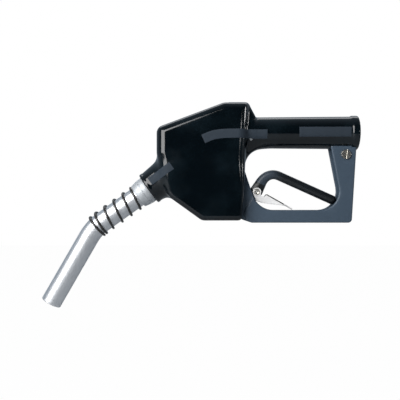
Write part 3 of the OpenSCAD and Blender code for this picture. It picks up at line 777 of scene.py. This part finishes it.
# %% Lever
BAR_R = 5.3
FOOT, CREST, TAIL = (-117.4, -68.5), (-106.4, -43.6), (-29.5, -78.2)
RIVET = (-117.6, -69.0)
CREST_R, CREST_STEPS = 16, 15
crest = arc_corners([[*FOOT, 0.1], [*CREST, CREST_R], [*TAIL, 0.1]], CREST_STEPS)
BAR_LINE = np.concatenate([[FOOT], crest[CREST_STEPS:2 * CREST_STEPS], [TAIL]])
ARM = arc_corners([
    [-145.5, -78, 0.1], [-139.5, -73.5, 5], [-124, -64, 5], [-119.5, -58.5, 2],
    [-109.5, -62.5, 2], [-111.5, -71, 5], [-118, -76.2, 6], [-138, -84, 5], [-148, -89, 0.1]])
FORK = arc_corners([
    [-172, -77, 5], [-166, -77, 0.1], [-160, -78, 0.1], [-146, -78, 2], [-142, -75.5, 2],
    [-142, -86, 2], [-150, -89.5, 4], [-172, -89.5, 5]])


def line_distance(x, z, line):
    """Distance in the side view to an open line."""
    nearest = np.full(np.broadcast(x, z).shape, 1e9)
    for (ax, az), (bx, bz) in zip(line[:-1], line[1:]):
        ex, ez = bx - ax, bz - az
        t = np.clip(((x - ax) * ex + (z - az) * ez) / (ex * ex + ez * ez + 1e-12), 0, 1)
        nearest = np.minimum(nearest, (x - ax - ex * t) ** 2 + (z - az - ez * t) ** 2)
    return np.sqrt(nearest)


def lever_field(x, y, z):
    """The round bar, which flattens and widens towards its foot, joined to the flat arm and
    the fork. Scaling the distance in the side view widens the bar in that view alone."""
    flare = 1.6 * smooth_step(-z, 48, 63) * smooth_step(-x, 96, 106)
    bar = np.hypot(line_distance(x, z, BAR_LINE) * BAR_R / (BAR_R + flare), y) - BAR_R
    arm = slab(outline_distance(x, z, ARM), y, 4, 1.0)
    fork = slab(outline_distance(x, z, FORK), y, 7.5, 0.8)
    plunger_gap = np.maximum(np.abs(y) - 5.2, x + 156.5)
    fork = cut(fork, plunger_gap, 0.4)
    lever = join(join(bar, arm, 1.6), fork, 0.6)
    pivot = np.hypot(x - PIVOT[0], z - PIVOT[1]) - 2.55
    rivet = np.hypot(x - RIVET[0], z - RIVET[1]) - 2.0
    return cut(cut(lever, pivot, 0.2), rivet, 0.2)


lever_points, lever_quads = skin(lever_field, (-174, -9, -92), (-22, 9, -42), 0.75)
place("cast_lever", [(lever_points, lever_quads)], "lever", sharp=60)

# %% [markdown]
# ## The spout
# The tube is a circle carried along a path: straight out of the socket, round the bend, and
# straight again to the tip, then back along the inside so that the wall is closed. Its own
# UV map runs round and along it, which lets the brushed streaks follow the bend.

# %% Spout tube
TUBE_R, TUBE_T = 11.9, 1.5
TUBE_LEN, BEND_R, BEND_A, TIP_LEN = 65.5, 59.0, math.radians(24.5), 88.0
NUT_LEN = 15.2


def spout_line(t):
    """Centre and up direction (x, z pairs) at distance t past the socket's mouth: a straight,
    an arc of radius BEND_R that turns by BEND_A, and a straight."""
    turn = np.clip((t - TUBE_LEN) / BEND_R, 0, BEND_A)
    ahead = np.cos(turn)[:, None] * SPOUT_OUT - np.sin(turn)[:, None] * SPOUT_UP
    up = np.cos(turn)[:, None] * SPOUT_UP + np.sin(turn)[:, None] * SPOUT_OUT
    start = SOCKET + SPOUT_OUT * TUBE_LEN - SPOUT_UP * BEND_R
    bent = start + up * BEND_R
    before = np.minimum(t - TUBE_LEN, 0)[:, None] * SPOUT_OUT
    after = np.maximum(t - TUBE_LEN - BEND_R * BEND_A, 0)[:, None] * ahead
    return bent + before + after, up


def round_spout(distances, radii, count=72):
    """Circles of the given radii round the spout's line, as a (rings, count) grid. U is the
    turn away from the seam, mirrored so that it meets itself, and V is the distance along."""
    centre, up = spout_line(np.asarray(distances, dtype=float))
    angle = np.linspace(0, 2 * math.pi, count, endpoint=False)
    lift = np.asarray(radii)[:, None] * np.cos(angle)
    points = np.stack([
        centre[:, None, 0] + up[:, None, 0] * lift,
        np.asarray(radii)[:, None] * np.sin(angle),
        centre[:, None, 1] + up[:, None, 1] * lift], -1)
    spread = np.abs(angle / math.pi - 1)
    uv = np.stack(np.broadcast_arrays(spread[None, :], np.asarray(distances)[:, None] * 0.01), -1)
    return points.reshape(-1, 3), uv.reshape(-1, 2)


SPOUT_END = TUBE_LEN + BEND_R * BEND_A + TIP_LEN
outside = np.concatenate([[-20, -20, -16, -16], np.linspace(-15.9, TUBE_LEN, 24),
                          np.linspace(TUBE_LEN, TUBE_LEN + BEND_R * BEND_A, 22)[1:],
                          np.linspace(TUBE_LEN + BEND_R * BEND_A, SPOUT_END - 0.9, 24)[1:]])
outer_r = np.where(outside < -15.95, 12.8, TUBE_R)
lip = np.linspace(0, math.pi, 9)
lip_at = SPOUT_END - 0.75 + 0.75 * np.sin(lip)
lip_r = TUBE_R - 0.75 + 0.75 * np.cos(lip)
inside = outside[::-1]
inner_r = np.full_like(inside, TUBE_R - TUBE_T)
tube_at = np.concatenate([outside[1:], lip_at, inside[:-1]])
tube_radii = np.concatenate([outer_r[1:], lip_r, inner_r[:-1]])
tube_points, tube_uv = round_spout(tube_at, tube_radii)
tube_faces = tiles(len(tube_at), 72, closed_rows=True, closed_columns=True)
place("spout_barrel", [(tube_points, tube_faces)], "spout_tube", uv=[tube_uv], sharp=40)

# %% [markdown]
# ## The spout nut
# A die-cast ring turned about the spout's axis. Its profile is a list of (distance, radius)
# pairs: a rounded shoulder at the socket, a shallow groove, and a cone down to the spring.

# %% Spout nut
NUT_PROFILE = [(-16, 11.95), (-16, 12.9), (0.05, 12.9), (0.05, 15.2), (0.35, 15.7), (0.9, 15.95),
               (5.6, 15.95), (6.0, 15.75), (6.2, 15.35), (6.9, 15.35), (7.1, 15.7), (7.5, 15.75),
               (14.2, 14.35), (14.8, 14.1), (15.1, 13.7), (15.2, 13.1), (15.2, 12.2), (14.9, 11.95)]
nut_at, nut_r = np.array(NUT_PROFILE).T
nut_points, _ = round_spout(nut_at, nut_r, 96)
place("spout_ring", [(nut_points, tiles(len(nut_at), 96, True, True))], "spout_nut", sharp=30)

# %% [markdown]
# ## The anchor spring
# A wire carried along a helix round the spout. It leaves the nut flat, runs at an even pitch
# and closes up over the last coils, and its ends are rounded off.

# %% Anchor spring
WIRE_R, COIL_R = 1.35, 13.4
TURNS, ADVANCE = [0, 0.2, 1, 4, 4.5, 5.5], [0, 0.8, 10.8, 49.8, 54.6, 58.6]


def helix_pipe(start, hand, steps=44, sides=14):
    """A round wire whose axis is a helix about the spout: centre = spout line + COIL_R times a
    turning direction, section spanned by that direction and the line's own direction. The
    wire's radius follows a quarter circle at each end, which rounds it off."""
    turn = np.linspace(0, TURNS[-1], int(TURNS[-1] * steps))
    advance = np.interp(turn, TURNS, ADVANCE)
    for _ in range(30):
        advance[1:-1] = (advance[:-2] + 2 * advance[1:-1] + advance[2:]) / 4
    centre, up = spout_line(start + advance)
    angle = hand * 2 * math.pi * turn
    side = np.zeros_like(turn)
    out = np.stack([up[:, 0] * np.cos(angle), np.sin(angle), up[:, 1] * np.cos(angle)], -1)
    along = np.stack([-up[:, 1], side, up[:, 0]], -1)
    middle = np.stack([centre[:, 0], side, centre[:, 1]], -1) + out * COIL_R
    from_end = np.minimum(turn, TURNS[-1] - turn) * 2 * math.pi * COIL_R / WIRE_R
    close = 1 - np.clip(from_end, 0.02, 1)
    width = (WIRE_R * np.sqrt(1 - close * close))[:, None, None]
    b = np.linspace(0, 2 * math.pi, sides, endpoint=False)
    ring = out[:, None] * np.cos(b)[None, :, None] + along[:, None] * np.sin(b)[None, :, None]
    points = np.concatenate([(middle[:, None] + ring * width).reshape(-1, 3), middle[[0, -1]]])
    j = np.arange(sides)
    first, last = len(turn) * sides, (len(turn) - 1) * sides
    caps = [np.stack([np.full(sides, first), (j + 1) % sides, j], -1),
            np.stack([np.full(sides, first + 1), last + j, last + (j + 1) % sides], -1)]
    return points, tiles(len(turn), sides, closed_columns=True), caps


coil_points, coil_walls, coil_caps = helix_pipe(NUT_LEN + WIRE_R + 0.1, hand=-1)
place("anchor_coil", [(coil_points, coil_walls)], "spout_spring", sharp=60, caps=coil_caps)

# %% [markdown]
# ## The hold-open clip
# The clip is one strip of stainless sheet folded into a U: two cheeks beside the lever, each a
# hub round the rivet and a blade that tapers to the tail, joined by a narrow web. A thin wire
# runs on from the tail. The rivet is tubular, so its head is a ring round a dark hollow.

# %% Clip
CLIP = arc_corners([
    [-114.6, -65.8, 1], [-112.8, -73.4, 1], [-109.2, -75.2, 1], [-106.2, -71.5, 0.8],
    [-85.2, -83.3, 0.6], [-85.6, -84.6, 0.5], [-98, -83.6, 4], [-111, -81.6, 6],
    [-118.2, -79.2, 2], [-122.4, -71.2, 1]])


def clip_field(x, y, z):
    """Both cheeks, 1 mm thick: the outline and the hub's disc given width, with the rivet's
    hole taken away, and the web that joins the cheeks under the blade."""
    hub = np.hypot(x - RIVET[0], z - RIVET[1])
    flat = join(outline_distance(x, z, CLIP), hub - 5.0, 0.6)
    cheek = slab(np.maximum(flat, 2.15 - hub), np.abs(y) - 6.1, 0.5, 0.25)
    low = z + 81.0 + (x + 104) * 0.19
    web = slab(np.maximum(np.abs(low) - 0.5, np.abs(x + 95) - 9), y, 6.4, 0.2)
    return np.minimum(cheek, web)


clip_points, clip_quads = skin(clip_field, (-124, -7.2, -86), (-83, 7.2, -63), 0.4)
place("clip_plate", [(clip_points, clip_quads)], "hold_open_clip", sharp=50)


def turned(profile, centre, count=48):
    """A closed profile of (y, radius) pairs carried round an axis along Y through centre."""
    y, radius = np.array(profile, dtype=float).T
    angle = np.linspace(0, 2 * math.pi, count, endpoint=False)
    points = np.stack([centre[0] + radius[:, None] * np.cos(angle),
                       y[:, None] + 0 * angle,
                       centre[1] + radius[:, None] * np.sin(angle)], -1)
    return points.reshape(-1, 3), tiles(len(y), count, closed_rows=True, closed_columns=True)


HEAD = [(6.3, 1.2), (6.5, 1.45), (7.3, 1.6), (7.6, 2.0), (7.7, 2.6), (7.55, 3.2), (7.1, 3.5),
        (6.72, 3.45)]
SHANK, HOLLOW = [(6.72, 1.98), (-6.72, 1.98)], [(-6.3, 0.9), (6.3, 0.9)]
rivet_profile = HEAD + SHANK + [(-y, r) for y, r in HEAD[::-1]] + HOLLOW
place("rivet_head", [turned(rivet_profile, RIVET)], "clip_rivet", sharp=40)

# %% [markdown]
# ## The hose inlet's thread
# The solid's inlet is a plain bore at the thread's mean radius. Here a thin ridge runs round
# inside it on a helix with the pitch of a 3/4 inch pipe thread.

# %% Inlet thread
THREAD_PITCH, THREAD_START, THREAD_TURNS = 1.814, -1.2, 8.5
INLET_R = frame["record"]["mounts"][0]["dims"]["r_mm"]
turn = np.linspace(0, THREAD_TURNS, int(THREAD_TURNS * 48))
fade = np.clip(np.minimum(turn, THREAD_TURNS - turn) * 4, 0.05, 1)
flank = np.array([(-0.75, 0.05), (0.0, -0.75), (0.75, 0.05)])
thread_x = THREAD_START - turn[:, None] * THREAD_PITCH + flank[:, 0] * fade[:, None]
thread_r = INLET_R + flank[:, 1] * fade[:, None]
around = 2 * math.pi * turn[:, None]
thread_points = np.stack([thread_x, thread_r * np.sin(around), thread_r * np.cos(around)], -1)
thread_caps = [np.array([[2, 1, 0]]), len(turn) * 3 - 3 + np.array([[0, 1, 2]])]
place("inlet_thread", [(thread_points.reshape(-1, 3), tiles(len(turn), 3, closed_columns=True))],
      "body_casting", sharp=30, stands_for=False, caps=thread_caps)

# %% [markdown]
# ## Turned small parts
# The guard's screw and nut keep their CAD shape. They only lack the small rounded edges that
# catch the light, so each gets a copy with bevelled edges.

# %% Small parts
softened("screw_head", "guard_screw", 0.45, 3)
softened("screw_nut", "guard_screw_nut", 0.3)
